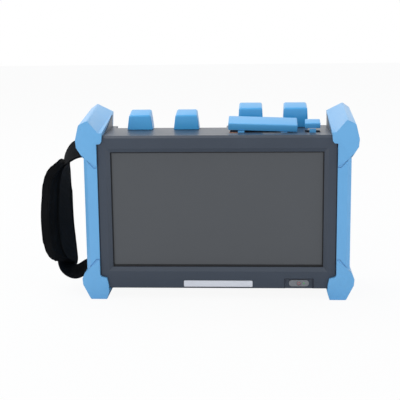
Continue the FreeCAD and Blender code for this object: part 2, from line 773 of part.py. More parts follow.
def make_front_details():
    label = new_body("label_plate")
    block(label, "XZ_Plane", -0.15, "label_depth + 0.1", "-label_left", "label_right",
          "label_base", "label_base + label_tall")
    soften(label, "Fillet", "edge_chamfer", lambda edge: runs_along(edge, Y_AXIS))

    pill = new_body("key_surround")
    front = "pill_recess - pill_thickness"
    block(pill, "XZ_Plane", front, "pill_thickness",
          "pill_mid - pill_length / 2", "pill_mid + pill_length / 2",
          "pill_height - pill_tall / 2", "pill_height + pill_tall / 2")
    soften(pill, "Fillet", "pill_tall / 2 - 0.02", lambda edge: runs_along(edge, Y_AXIS))
    drum(pill, "XZ_Plane", front, "pill_thickness", "pill_mid", "pill_height", "key_radius + 0.1", cut=True)
    drum(pill, "XZ_Plane", front, "pill_thickness", "pill_mid + lens_offset", "pill_height",
         "lens_radius + running_gap", cut=True)

    key = new_body("power_button")
    drum(key, "XZ_Plane", f"{front} - key_proud", "key_proud + pill_thickness", "pill_mid", "pill_height",
         "key_radius")
    soften(key, "Chamfer", "key_proud", lambda edge: at(edge, y=number(f"{front} - key_proud")))
    drum(key, "XZ_Plane", "pill_recess - 0.1", "stem_reach - pill_recess + 0.1", "pill_mid", "pill_height",
         "stem_radius")

    lens = new_body("status_lens")
    drum(lens, "XZ_Plane", front, f"stem_reach - ({front})", "pill_mid + lens_offset", "pill_height",
         "lens_radius")

    switch = new_body("key_switch")
    switch_y = "stem_reach + key_travel + 0.1"
    block(switch, "XZ_Plane", switch_y, f"{KEY_BOARD_Y} - ({switch_y})", "pill_mid - switch_side / 2",
          "pill_mid + switch_side / 2", "pill_height - switch_tall / 2", "pill_height + switch_tall / 2")
    board = new_body("key_board")
    block(board, "XZ_Plane", KEY_BOARD_Y, "board_thickness", "pill_mid - pill_length / 2",
          "pill_mid + pill_length / 2", "body_base + wall + 0.2", f"{BOSS_LOW} - boss_radius - 0.3")


# ---- inside of the rear shell --------------------------------------------------

def make_boards():
    """Main board on four spacers with its chips, and the optical module behind it."""
    spacers = []
    radius = number("spacer_radius")
    for side in (-1, 1):
        for height in ("window_base + boss_inset", "window_top - boss_inset"):
            seat = Vector(side * number("window_width / 2 + boss_inset / 2"),
                          number(f"{BRACKET_Y} + bracket_thickness"), number(height))
            spacers.append(rod(seat, Y_AXIS, radius, number("board_standoff"), sides=6))
    shaped("board_spacers", Part.makeCompound(spacers))

    board = new_body("main_board")
    block(board, "XZ_Plane", BOARD_Y, "board_thickness", "-window_width / 2 - boss_inset",
          "window_width / 2 + boss_inset", "window_base", "window_top - board_drop")
    chips_y = f"{BOARD_Y} + board_thickness"
    # chips: middle as a share of the window's size, side and thickness
    for across, up, side, tall in ((-0.38, 0.8, 24, 2), (-0.21, 0.78, 14, 1.4), (-0.06, 0.79, 17, 2.4),
                                   (0.41, 0.22, 18, 3), (-0.41, 0.18, 15, 3)):
        x, z = f"{across} * window_width", f"window_base + {up} * window_tall"
        block(board, "XZ_Plane", chips_y, tall, f"{x} - {side} / 2", f"{x} + {side} / 2",
              f"{z} - {side} / 2", f"{z} + {side} / 2")

    module = new_body("optical_module")
    start = f"{chips_y} + 3.2"
    block(module, "XZ_Plane", start, f"bay_front - wall - 0.3 - ({start})", "-bay_half + 6",
          "bay_half - 25", "bay_base + 2", "bay_top - 2")
    soften(module, "Fillet", 2, lambda edge: runs_along(edge, Y_AXIS))
    for step in range(5):
        block(module, "XZ_Plane", f"{start} - 0.8", 0.8, f"-bay_half + 12 + {step} * 12",
              f"-bay_half + 15 + {step} * 12", "bay_base + 8", "bay_top - 8")

    start = Vector(number("bay_half + wall + spool_radius + 1.5"),
                   number("cavity_back - spool_thickness - 0.2"), number("bay_top - spool_radius"))
    radius, tall = number("spool_radius"), number("spool_thickness")
    spool = rod(start, Y_AXIS, number("spool_core"), tall, sides=24)
    for offset in (0, tall - number("spool_flange")):
        spool = spool.fuse(rod(start + Y_AXIS * offset, Y_AXIS, radius, number("spool_flange"), sides=24))
    shaped("fibre_spool", spool.removeSplitter())

    back = Vector(-number("speaker_mid"), number("cavity_back - 0.2"), number("speaker_height"))
    radius, tall = number("speaker_radius"), number("speaker_depth")
    basket = rod(back, Y_AXIS * -1, radius, tall, sides=24)
    magnet = rod(back - Y_AXIS * tall, Y_AXIS * -1, radius / 2, number("magnet_depth"), sides=24)
    shaped("loudspeaker", basket.fuse(magnet).removeSplitter())


def make_battery():
    pack = new_body("battery_pack")
    block(pack, "XZ_Plane", "bay_front + cell_gap", "body_depth - bay_cover - bay_front - 2 * cell_gap",
          "-bay_half + battery_gap", "bay_half - battery_gap", "bay_base + battery_gap",
          "bay_top - battery_gap")
    soften(pack, "Fillet", 2, lambda edge: runs_along(edge, X_AXIS))
    back = "body_depth - bay_cover - cell_gap"
    for step in (-2, -1, 0, 1, 2):
        block(pack, "XZ_Plane", f"{back} - 0.6", 0.7, f"{step} * 20 - 0.4", f"{step} * 20 + 0.4",
              "bay_base + 4", "bay_top - 4", cut=True)

    cover = new_body("battery_cover")
    block(cover, "XZ_Plane", "body_depth - bay_cover + 0.05", "bay_cover - 0.05",
          "-bay_half - bay_rim + cover_gap", "bay_half + bay_rim - cover_gap",
          "bay_base - bay_rim + cover_gap", "bay_top + bay_rim - cover_gap")
    soften(cover, "Fillet", 2, lambda edge: runs_along(edge, Y_AXIS))
    for step in range(6):
        low = f"bay_base + 8 + {step} * 4"
        block(cover, "XZ_Plane", "body_depth - 0.8", 0.9, "-bay_half / 2", "bay_half / 2", low,
              f"{low} + 1.6", cut=True)
    screws = []
    z = "bay_top + bay_rim / 2 - 0.2"
    for side in (-1, 1):
        x = f"{side} * (bay_half + bay_rim / 2 - 0.2)"
        drum(cover, "XZ_Plane", "body_depth - bay_cover", "bay_cover", x, z,
             "pilot_radius / 2 + 0.1", cut=True)
        seat = Vector(number(x), number("body_depth") + 0.02, number(z))
        screws.append(screw(seat, Vector(0, -1, 0), number("pilot_radius") / 2, 2.4))
    shaped("battery_cover_screws", Part.makeCompound(screws))


# ---- kickstand ------------------------------------------------------------------

def make_kickstand():
    stand = new_body("kickstand")
    start = "body_depth - stand_thickness - 0.3"
    high = "stand_axis + stand_thickness / 2"

    def frame(sketch):
        bar = "stand_base + stand_bar"
        draw_polygon(sketch, [
            ("-stand_outer", "stand_base"), ("stand_outer", "stand_base"), ("stand_outer", high),
            ("stand_inner", high), ("stand_inner", bar), ("-stand_inner", bar), ("-stand_inner", high),
            ("-stand_outer", high)])
    extrude(stand, "XZ_Plane", start, "stand_thickness", frame)
    top = number(high)
    soften(stand, "Fillet", "stand_thickness / 2 - 0.02", lambda edge: (
        runs_along(edge, X_AXIS) and at(edge, z=top)))
    soften(stand, "Fillet", 3, lambda edge: (
        runs_along(edge, Y_AXIS) and at(edge, z=number("stand_base"))))
    drum(stand, "YZ_Plane", "-stand_outer", "2 * stand_outer", PIN_Y, "stand_axis",
         "stand_pin + running_gap", cut=True)
    pins = []
    near = number("stand_inner - stand_gap + 0.1")
    far = number("stand_outer + stand_gap + stand_pin_grip - 0.2")
    for side in (-1, 1):
        end = Vector(side * near, number(PIN_Y), number("stand_axis"))
        pins.append(Part.makeCylinder(number("stand_pin"), far - near, end, Vector(side, 0, 0)))
    shaped("kickstand_pins", Part.makeCompound(pins))


def make_housing_screws():
    """Four screws that pull the two shells together from the back."""
    screws = []
    for side in (-1, 1):
        for height in SCREW_HEIGHTS:
            seat = Vector(side * number(SCREW_X), number("body_depth") + 0.02, number(height))
            screws.append(screw(seat, Vector(0, -1, 0), number("screw_radius"), 6))
    shaped("housing_screws", Part.makeCompound(screws))


# ---- optical adapters, their caps and the tethers --------------------------------

def make_port(index, x, hinge):
    """Flanged adapter with a ferrule sleeve, seated in its well in the top."""
    y = port_y(hinge)
    body = new_body(f"optical_adapter_{index}")
    for start, length, width, depth in (
            ("body_top - well_depth + well_gap", "well_depth - well_gap", "adapter_side", "adapter_side"),
            ("body_top", "flange_thickness", "flange_width", "flange_depth")):
        block(body, "XY_Plane", start, length, f"{x} - {width} / 2", f"{x} + {width} / 2",
              f"{y} - {depth} / 2", f"{y} + {depth} / 2")
    drum(body, "XY_Plane", "body_top + flange_thickness", "barrel_tall", x, y, "barrel_radius")
    mouth = "body_top + flange_thickness + barrel_tall"
    drum(body, "XY_Plane", f"{mouth} - ferrule_depth", "ferrule_depth", x, y, "ferrule_radius", cut=True)


def make_cap(index, x, hinge, tall, taper):
    """Rubber hood, open below and narrower above, that turns about the bead of its tether."""
    body = new_body(f"dust_cap_{index}")
    low = "body_top + cap_lift"
    front = f"{hinge} - cap_depth"
    high = f"{low} + {tall}"

    def profile(sketch):
        draw_polygon(sketch, [(front, low), (f"{front} + 0.3", high),
                              (f"{hinge} - 0.6", f"{high} + cap_slope"), (hinge, low)])
    extrude(body, "YZ_Plane", f"{x} - cap_width / 2", "cap_width", profile)

    def draft(sketch):
        peak = f"{high} + cap_slope"
        for side in ("-", "+"):
            edge = f"{x} {side} cap_width / 2"
            shoulder = f"{x} {side} (cap_width / 2 - {taper})"
            draw_polygon(sketch, [(edge, low), (edge, peak), (shoulder, peak)])
    extrude(body, "XZ_Plane", front, "cap_depth", draft, cut=True)
    level = number(low)
    soften(body, "Chamfer", "cap_round", lambda edge: edge.BoundBox.ZMax > level + 0.1)
    inner = f"(cap_width / 2 - {taper} - cap_wall + 0.3)"
    block(body, "XY_Plane", low, f"{tall} - cap_wall", f"{x} - {inner}", f"{x} + {inner}",
          f"{front} + cap_wall", f"{hinge} - cap_wall", cut=True)
    drum(body, "YZ_Plane", f"{x} - cap_width / 2", "cap_width", hinge, HINGE_Z,
         "bead_radius + bead_gap", cut=True)


def make_tether(index, x, hinge, sloped):
    """Rubber strip with a bead at its top, screwed to the shell behind the cap."""
    width, thick, length = (number(name) for name in ("tether_width", "tether_thickness", "tether_length"))
    middle, top = number(x), number("body_top")
    y, z = number(hinge), number(HINGE_Z)
    if sloped:
        edge = Vector(0, number("relief_start"), top)
        down = Vector(0, number("body_depth - relief_start"), -number("relief_drop")).normalize()
    else:
        edge = Vector(0, number("body_depth"), top)
        down = Vector(0, 0, -1)
    out = X_AXIS.cross(down)
    inner = edge + out * 0.1
    # where the strip below the bead meets the strip that lies on the shell
    back, front = y + thick / 2, y - thick / 2
    reach = (front - inner.y) / down.y if sloped else 2.0
    bend = inner + down * reach
    outer = bend + out * thick
    if sloped:
        outer = outer + down * ((back - outer.y) / down.y)
    tip = inner + down * (reach + length)
    shape = [Vector(0, front, z), bend, tip, tip + out * thick, outer, Vector(0, back, z)]
    if not sloped:
        shape = [Vector(0, inner.y, z - 0.2), tip, tip + out * thick, Vector(0, inner.y + thick, z - 0.2)]
    left = Vector(middle - width / 2, 0, 0)
    wire = Part.makePolygon([left + point for point in shape + shape[:1]])
    strip = Part.Face(wire).extrude(Vector(width, 0, 0))
    bead = Part.makeCylinder(number("bead_radius"), width, left + Vector(0, y, z), X_AXIS)
    seat = Vector(middle, 0, 0) + tip - down * (length * 0.35) + out * thick
    hole = Part.makeCylinder(1.0, 2 * thick, seat + out * 0.1, out * -1)
    shaped(f"cap_tether_{index}", strip.fuse(bead).cut(hole).removeSplitter())
    return screw(seat, out * -1, 0.95, thick)


def make_ports():
    screws = []
    for index, (x, hinge) in enumerate(PORTS, 1):
        sloped = hinge == CAP_LEFT_Y
        make_port(index, x, hinge)
        if sloped:
            make_cap(index, x, hinge, "cap_tall", "cap_taper")
        else:
            make_cap(index, x, hinge, "cap_tall + cap_extra", "cap_taper_tall")
        screws.append(make_tether(index, x, hinge, sloped))
    shaped("tether_screws", Part.makeCompound(screws))


# ---- sockets on their board, and the flip covers ----------------------------------

def make_sockets():
    base = "body_top - port_floor - port_depth"
    for name in SOCKETS:
        body = new_body(f"{name}_port")
        x, y = f"data_mid + {name}_offset", SOCKET_Y
        across, along = f"{name}_width / 2", f"{name}_depth / 2"
        block(body, "XY_Plane", base, "port_depth",
              f"{x} - {across}", f"{x} + {across}", f"{y} - {along}", f"{y} + {along}")
        across, along = f"({across} - {name}_shell)", f"({along} - {name}_shell)"
        block(body, "XY_Plane", f"{base} + socket_base", "port_depth - socket_base",
              f"{x} - {across}", f"{x} + {across}", f"{y} - {along}", f"{y} + {along}", cut=True)
    jack = new_body("power_jack")
    drum(jack, "XY_Plane", base, "port_depth", "power_mid", JACK_Y, "jack_radius")
    drum(jack, "XY_Plane", f"{base} + socket_base", "port_depth - socket_base", "power_mid", JACK_Y,
         "jack_bore", cut=True)
    drum(jack, "XY_Plane", f"{base} + socket_base - 1", "jack_pin_tall + 1", "power_mid", JACK_Y,
         "jack_pin")
    board = new_body("socket_board")
    block(board, "XY_Plane", f"{base} - board_thickness", "board_thickness",
          "data_mid - data_width / 2 + 1", "power_mid + power_width / 2",
          "data_hinge + 1", "data_hinge + data_depth + 1")


def make_flip_cover(label, width, depth, thickness, x, y, z, tilt):
    """Rubber flap drawn flat on its hinge line, then laid ajar about it."""
    body = doc.addObject("PartDesign::Body", label)
    block(body, "XY_Plane", 0, thickness, f"-{width} / 2", f"{width} / 2", 0, depth)
    soften(body, "Chamfer", "cover_round", lambda edge: edge.BoundBox.ZMax > 0.1)
    block(body, "XY_Plane", 0, "port_floor / 2", f"-{width} / 2 + 1.5", f"{width} / 2 - 1.5", 1.5,
          f"{depth} - 1.5", cut=True)
    turn = Rotation(Y_AXIS, number(tilt)).multiply(Rotation(X_AXIS, number("cover_slope")))
    body.Placement = Placement(Vector(0, 0, 0), turn)
    place(body, label, x, y, z)


def make_flip_covers():
    data_z = "body_top + data_lift"
    power_z = "body_top + power_lift"
    make_flip_cover("data_port_cover", "data_width", "data_depth", "data_cover",
                    "data_mid", "data_hinge", data_z, "data_tilt")
    make_flip_cover("power_port_cover", "power_width", "power_depth", "power_cover",
                    "power_mid", "power_hinge", power_z, 0)
    slope = math.tan(math.radians(number("data_tilt")))
    y = number("data_hinge - tab_thickness / 2")
    tabs = []
    for offset in (-0.31, 0.31):
        middle = number("data_mid") + offset * number("data_width")
        tall = number(f"{data_z} - body_top - tab_gap") - offset * number("data_width") * slope
        tabs.append(Part.makeBox(number("tab_width"), number("tab_thickness"), tall, Vector(
            middle - number("tab_width") / 2, y, number("body_top"))))
    shaped("data_cover_tabs", Part.makeCompound(tabs))
    stem = new_body("power_cover_tab")
    block(stem, "XY_Plane", "body_top - port_floor", "power_lift + port_floor - tab_gap",
          "power_mid - tab_width / 2", "power_mid + tab_width / 2",
          "power_hinge - tab_thickness / 2", "power_hinge + tab_thickness / 2")


# ---- hand strap ---------------------------------------------------------------------

def ribbon(middle, half_thickness):
    """Outline of a strip of even thickness about a middle line of (x, z) points."""
    near, far = [], []
    count = len(middle)
    for i, (x, z) in enumerate(middle):
        before, after = middle[max(i - 1, 0)], middle[min(i + 1, count - 1)]
        along = Vector(after[0] - before[0], 0, after[1] - before[1]).normalize()
        side = Vector(-along.z, 0, along.x) * half_thickness
        near.append((x + side.x, z + side.z))
        far.append((x - side.x, z - side.z))
    return near + far[::-1]


def faceted(front, back):
    """A solid of flat triangles between two outlines with the same number of corners."""
    faces = [Part.Face(Part.makePolygon(end + end[:1])) for end in (front, back)]
    for i, start in enumerate(front):
        after = (i + 1) % len(front)
        for corners in ((start, front[after], back[after]), (start, back[after], back[i])):
            faces.append(Part.Face(Part.makePolygon([*corners, start])))
    return Part.Solid(Part.Shell(faces))


def make_strap():
    for name, height in (("strap_bar_upper", "bar_upper"), ("strap_bar_lower", "bar_lower")):
        bar = new_body(name)
        drum(bar, "XZ_Plane", f"{SLOT_START} - bar_grip + 0.1", f"{SLOT_WIDE} + 2 * bar_grip - 0.2",
             f"-{HALF} + bar_depth", height, "bar_radius")

    half = number("webbing_thickness") / 2
    start = number(f"-{HALF} + bar_depth - bar_radius - 0.3")
    upper, lower = number("bar_upper"), number("bar_lower")
    near, far = number("strap_mid - webbing_width / 2"), number("strap_mid + webbing_width / 2")
    reach = number("strap_reach")
    # middle lines of the two webbings and of the pad, as (x, z) points
    # the pad bows out at its front edge, and its back edge is straighter and hangs lower:
    # distance in from the outermost reach, and height as a share of the way down to the lower bar
    front_edge = [(19.5, 0.075), (10, 0.16), (6, 0.274), (3.5, 0.5), (3.7, 0.67), (5, 0.783),
                  (8, 0.835), (13, 0.863)]
    back_edge = [(16, 0.11), (16.2, 0.19), (16.6, 0.34), (17.2, 0.5), (18, 0.665), (18.6, 0.8),
                 (19.2, 0.9), (20.1, 1.02)]
    ends = []
    for edge, y in ((front_edge, number("pad_front")), (back_edge, number("pad_back"))):
        middle = [(out - reach, upper - share * (upper - lower)) for out, share in edge]
        outline = ribbon(middle, number("pad_thickness") / 2)
        ends.append([Vector(x, y, z) for x, z in outline])
    pad = faceted(*ends)
    shaped("strap_pad", pad)

    # middle lines of the two webbings, as (x, z) points; each ends against the pad
    top_line = [(start, upper), (35.6 - reach, upper + 1), (29.5 - reach, upper - 2.5),
                (22.8 - reach, upper - 7.5), (17.4 - reach, upper - 12.5)]
    low_line = [(start, lower), (36.6 - reach, lower - 2), (31.1 - reach, lower - 6.2),
                (25.6 - reach, lower - 8.2), (20.5 - reach, lower - 6.2), (15.5 - reach, lower - 0.5),
                (13 - reach, lower + 9.5)]
    for label, line in (("strap_webbing_upper", top_line), ("strap_webbing_lower", low_line)):
        outline = ribbon(line, half)
        shaped(label, loft_block(outline, outline, near, far).cut(pad))


# ---- build, check and write -----------------------------------------------------------

def build():
    make_front_housing()
    make_rear_housing()
    make_adapter_deck()
    make_socket_panel()
    make_bumpers()
    make_screen()
    make_front_details()
    make_boards()
    make_battery()
    make_kickstand()
    make_housing_screws()
    make_ports()
    make_sockets()
    make_flip_covers()
    make_strap()
    doc.recompute()


def check():
    for item in doc.Objects:
        if "Invalid" in item.State or "Error" in item.State:
            raise ValueError(f"{item.Label} failed: {item.State}")
    for part in parts:
        if part.Shape.isNull() or not part.Shape.isValid() or not part.Shape.Solids:
            raise ValueError(f"{part.Label} has no valid solid")


build()
check()
os.makedirs("parts", exist_ok=True)
for part in parts:
    part.Shape.exportStep(f"parts/{part.Label}.step")
print(len(parts), "sub-parts written")
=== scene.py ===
import math

import bmesh
import bpy
from mathutils import Matrix, Vector
from mathutils.bvhtree import BVHTree
from mathutils.kdtree import KDTree


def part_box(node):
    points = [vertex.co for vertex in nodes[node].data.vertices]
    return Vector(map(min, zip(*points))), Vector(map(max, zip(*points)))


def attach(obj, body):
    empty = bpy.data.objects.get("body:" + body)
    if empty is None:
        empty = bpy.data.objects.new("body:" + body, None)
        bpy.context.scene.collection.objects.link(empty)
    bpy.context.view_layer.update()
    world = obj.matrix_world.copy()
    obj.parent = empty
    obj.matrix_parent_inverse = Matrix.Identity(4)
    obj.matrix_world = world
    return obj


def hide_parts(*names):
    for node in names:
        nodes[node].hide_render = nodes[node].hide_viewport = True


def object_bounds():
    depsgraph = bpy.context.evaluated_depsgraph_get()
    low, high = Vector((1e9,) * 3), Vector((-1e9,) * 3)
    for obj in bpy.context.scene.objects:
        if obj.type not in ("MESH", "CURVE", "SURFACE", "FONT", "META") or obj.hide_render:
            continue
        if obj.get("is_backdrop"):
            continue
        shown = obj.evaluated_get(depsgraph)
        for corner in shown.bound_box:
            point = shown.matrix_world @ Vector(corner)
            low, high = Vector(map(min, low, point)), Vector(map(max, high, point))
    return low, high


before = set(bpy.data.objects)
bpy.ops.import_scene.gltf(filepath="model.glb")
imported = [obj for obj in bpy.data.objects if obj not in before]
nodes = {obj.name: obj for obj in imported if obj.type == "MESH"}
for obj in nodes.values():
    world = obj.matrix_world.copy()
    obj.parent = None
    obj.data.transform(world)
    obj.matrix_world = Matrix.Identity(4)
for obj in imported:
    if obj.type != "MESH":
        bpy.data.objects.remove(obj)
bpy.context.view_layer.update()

# ---- camera ------------------------------------------------------------------
# A long lens a little above the tester and slightly right of its middle, with
# the screen almost square on and the top just showing.
bpy.ops.object.camera_add(location=(0.0506, -0.8674, 0.257))
camera = bpy.context.object
camera.name = "camera"
camera.data.sensor_width = 36
camera.data.lens = 90.28
turn = Matrix.Rotation(math.radians(3.28), 3, "Z")
tilt = Matrix.Rotation(math.radians(78.5), 3, "X")
roll = Matrix.Rotation(math.radians(-0.7), 3, "Z")
camera.rotation_euler = (turn @ tilt @ roll).to_euler()
bpy.context.scene.camera = camera
bpy.context.scene.view_settings.view_transform = "Standard"

# ---- studio ------------------------------------------------------------------
# A pale floor in white surroundings, one wide soft lamp overhead, and two
# weaker ones in front that open up the shadows.


def paint(red, green, blue):
    """A colour named by its eight-bit screen values, as the linear values a shader takes."""
    linear = []
    for level in (red, green, blue):
        level /= 255
        linear.append(level / 12.92 if level <= 0.04045 else ((level + 0.055) / 1.055) ** 2.4)
    return (*linear, 1)


def feed(tree, socket, value):
    """Give an input its value: a link from another socket, or a constant."""
    if isinstance(value, bpy.types.NodeSocket):
        tree.links.new(value, socket)
    else:
        socket.default_value = value


def add_node(tree, kind, settings=(), **inputs):
    """A shader node with its settings, and its inputs fed by name."""
    node = tree.nodes.new("ShaderNode" + kind)
    for name, value in dict(settings).items():
        setattr(node, name, value)
    for name, value in inputs.items():
        feed(tree, node.inputs[name.replace("_", " ")], value)
    return node


def add_in_order(tree, kind, values, settings=()):
    """A shader node with its settings, and its inputs fed in their order."""
    node = add_node(tree, kind, settings)
    for socket, value in zip(node.inputs, values):
        feed(tree, socket, value)
    return node


def maths(tree, operation, *values):
    """The result of one operation on sockets and constants."""
    return add_in_order(tree, "Math", values, {"operation": operation}).outputs[0]


# white to the camera, to glass and in mirrors, and a softer blue-white as a light
world = bpy.data.worlds.new("studio")
bpy.context.scene.world = world
world.use_nodes = True
tree = world.node_tree
tree.nodes.clear()
path = add_node(tree, "LightPath").outputs
seen = maths(tree, "MAXIMUM", path["Is Camera Ray"], path["Is Transmission Ray"])
mirrored = maths(tree, "MAXIMUM", seen, path["Is Glossy Ray"])
soft = add_node(tree, "Background", Color=(0.94, 0.97, 1.0, 1), Strength=0.61)
white = add_node(tree, "Background", Color=(1, 1, 1, 1), Strength=1.0)
mix = add_in_order(tree, "MixShader", (mirrored, soft.outputs[0], white.outputs[0]))
add_node(tree, "OutputWorld", Surface=mix.outputs[0])

for label, place, aim, size, power in (
        ("overhead", (-0.5, 0.3, 1.1), (0, 0, 0.1), 1.1, 7.0),
        ("left_fill", (-0.9, -0.95, 0.55), (0, 0, 0.08), 0.9, 2.6),
        ("right_fill", (1.0, -0.8, 0.6), (0, 0, 0.08), 0.9, 3.0)):
    bpy.ops.object.light_add(type="AREA", location=place)
    lamp = bpy.context.object
    lamp.name = label
    lamp.data.size = size
    lamp.data.energy = power
    lamp.rotation_euler = (Vector(aim) - Vector(place)).to_track_quat("-Z", "Y").to_euler()

# the floor is almost white to the camera, and a plain pale grey to everything else
bpy.ops.mesh.primitive_plane_add(size=6, location=(0, 0, -0.0002))
floor = bpy.context.object
floor.name = "floor"
floor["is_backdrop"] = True
pale = bpy.data.materials.new("pale_floor")
pale.use_nodes = True
tree = pale.node_tree
tree.nodes.clear()
path = add_node(tree, "LightPath").outputs
whiteness = 0.93
paper = add_node(tree, "BsdfDiffuse", Color=(0.86, 0.86, 0.87, 1))
glow = add_node(tree, "Emission", Color=(1, 1, 1, 1), Strength=1.0)
share = maths(tree, "MULTIPLY", path["Is Camera Ray"], whiteness)
mix = add_in_order(tree, "MixShader", (share, paper.outputs[0], glow.outputs[0]))
add_node(tree, "OutputMaterial", Surface=mix.outputs[0])
floor.data.materials.append(pale)

# ---- housing -------------------------------------------------------------------
# Two injection-moulded shells in slate ABS with a fine spark-eroded texture,
# closed by four screws from the back.  Their edges are rubbed a little paler.


def new_group(name, inputs, outputs):
    """An empty shader group with number sockets, and its input and output nodes."""
    group = bpy.data.node_groups.new(name, "ShaderNodeTree")
    for label, value in inputs:
        socket = group.interface.new_socket(label, in_out="INPUT", socket_type="NodeSocketFloat")
        socket.default_value = value
    for label in outputs:
        group.interface.new_socket(label, in_out="OUTPUT", socket_type="NodeSocketFloat")
    return group, group.nodes.new("NodeGroupInput"), group.nodes.new("NodeGroupOutput")


# moulded grain: a fine pitted height and broad faint patches, both from 0 to 1
grain, given, made = new_group(
    "moulded_grain", (("Grains per Metre", 2500.0), ("Patches per Metre", 22.0)),
    ("Height", "Patches"))
where = add_node(grain, "TexCoord").outputs["Object"]
pits = add_node(grain, "TexNoise", Vector=where, Scale=given.outputs["Grains per Metre"],
                Detail=3.0, Roughness=0.6)
broad = add_node(grain, "TexNoise", Vector=where, Scale=given.outputs["Patches per Metre"],
                 Detail=4.0, Roughness=0.55)
spread = add_node(grain, "MapRange", Value=broad.outputs["Fac"], From_Min=0.3, From_Max=0.7)
feed(grain, made.inputs["Height"], pits.outputs["Fac"])
feed(grain, made.inputs["Patches"], spread.outputs["Result"])

# rubbed edges: 1 on an outer edge that hands and benches wear, 0 on flat faces
rubbed, given, made = new_group("rubbed_edges", (("Width", 0.0008),), ("Rubbed",))
rounded = add_node(rubbed, "Bevel", {"samples": 4}, Radius=given.outputs["Width"])
facing = add_node(rubbed, "NewGeometry")
dot = add_in_order(rubbed, "VectorMath", (rounded.outputs["Normal"], facing.outputs["Normal"]),
                   {"operation": "DOT_PRODUCT"})
edge = add_node(rubbed, "MapRange", Value=dot.outputs["Value"], From_Min=0.985, From_Max=0.80)
where = add_node(rubbed, "TexCoord").outputs["Object"]
scuffs = add_node(rubbed, "TexNoise", Vector=where, Scale=120.0, Detail=5.0)
broken = add_node(rubbed, "MapRange", Value=scuffs.outputs["Fac"], From_Min=0.35, From_Max=0.62)
both = maths(rubbed, "MULTIPLY", edge.outputs["Result"], broken.outputs["Result"])
feed(rubbed, made.inputs["Rubbed"], both)


def new_material(name):
    """A material with a plain shader, and its node tree."""
    material = bpy.data.materials.new(name)
    material.use_nodes = True
    return material, material.node_tree


def set_shader(tree, **inputs):
    """Feed the shader of a material by the names of its inputs."""
    shader = tree.nodes["Principled BSDF"]
    for name, value in inputs.items():
        feed(tree, shader.inputs[name.replace("_", " ")], value)


def two_tone(tree, share, dark, light):
    """The colour between two painted ones at a share from 0 to 1."""
    return add_node(tree, "MixRGB", Fac=share, Color1=paint(*dark), Color2=paint(*light)).outputs[0]


def moulded(name, base, mottle, worn, roughness, grains=2500.0, depth=0.00004, rounding=0.0005,
            wear=0.3, coat=0.0, patchy=True):
    """A moulded plastic or rubber: two near colours, a fine grain, and paler rubbed edges."""
    material, tree = new_material(name)
    texture = add_node(tree, "Group", {"node_tree": grain}, Grains_per_Metre=grains)
    # the wear reaches a little further than the rounding
    edges = add_node(tree, "Group", {"node_tree": rubbed}, Width=rounding * 1.6)
    share = maths(tree, "MULTIPLY", edges.outputs["Rubbed"], wear)
    body = two_tone(tree, texture.outputs["Patches"], base, mottle)
    colour = add_node(tree, "MixRGB", Fac=share, Color1=body, Color2=paint(*worn))
    gloss = roughness
    if patchy:
        gloss = add_node(tree, "MapRange", Value=texture.outputs["Patches"],
                         To_Min=roughness - 0.04, To_Max=roughness + 0.05).outputs["Result"]
    soft_edge = add_node(tree, "Bevel", {"samples": 4}, Radius=rounding)
    bump = add_node(tree, "Bump", Height=texture.outputs["Height"], Distance=depth, Strength=0.6,
                    Normal=soft_edge.outputs["Normal"])
    set_shader(tree, Base_Color=colour.outputs[0], Roughness=gloss, Normal=bump.outputs[0],
               Coat_Weight=coat, Coat_Roughness=0.3)
    return material


def plated(name, dull, bright, smoothest, roughest, grains=2500.0):
    """A plated metal in two near tones, with a gloss that varies over its grain."""
    material, tree = new_material(name)
    texture = add_node(tree, "Group", {"node_tree": grain}, Grains_per_Metre=grains)
    tone = two_tone(tree, texture.outputs["Patches"], dull, bright)
    gloss = add_node(tree, "MapRange", Value=texture.outputs["Height"], To_Min=smoothest,
                     To_Max=roughest)
    set_shader(tree, Base_Color=tone, Metallic=1, Roughness=gloss.outputs["Result"])
    return material


def dress(material, *names):
    """Give CAD pieces that stay as they are their material."""
    for name in names:
        nodes[name].data.materials.clear()
        nodes[name].data.materials.append(material)


slate = moulded("slate_abs", (46, 57, 72), (50, 61, 76), (78, 88, 102), 0.38, coat=0.22)
dress(slate, "front_housing", "rear_housing", "adapter_deck", "socket_panel", "battery_cover",
      "kickstand")
zinc = plated("zinc_plated_steel", (168, 170, 172), (190, 190, 188), 0.28, 0.42, grains=900)
dress(zinc, "housing_screws", "battery_cover_screws", "tether_screws", "bracket_screws",
      "kickstand_pins", "strap_bar_upper", "strap_bar_lower", "board_spacers")

# ---- bumpers -------------------------------------------------------------------
# One soft light-blue rubber boot on each side: a channel down the side with a
# stepped block at each corner, its front edges just rounded by the mould.


def select_only(piece):
    """Make a piece the active one and the only one selected."""
    bpy.ops.object.select_all(action="DESELECT")
    bpy.context.view_layer.objects.active = piece
    piece.select_set(True)


def apply_modifier(piece, kind, **settings):
    """Change the active piece for good by one modifier."""
    modifier = piece.modifiers.new(kind.lower(), kind)
    for name, value in settings.items():
        setattr(modifier, name, value)
    bpy.ops.object.modifier_apply(modifier=modifier.name)


def new_piece(name, data):
    """A new piece of a mesh or curve, active and selected."""
    piece = bpy.data.objects.new(name, data)
    bpy.context.scene.collection.objects.link(piece)
    select_only(piece)
    return piece


def mesh_of(name, shape):
    """The mesh of a shape drawn as a bmesh, which is used up."""
    mesh = bpy.data.meshes.new(name)
    shape.to_mesh(mesh)
    shape.free()
    return mesh


def cut_away(piece, shape, overlapping=False):
    """Cut a closed shape, drawn as a bmesh, out of a piece; its own blocks may be overlapping."""
    tool = new_piece("tool", mesh_of("tool", shape))
    select_only(piece)
    apply_modifier(piece, "BOOLEAN", object=tool, solver="EXACT", use_self=overlapping)
    bpy.data.objects.remove(tool)


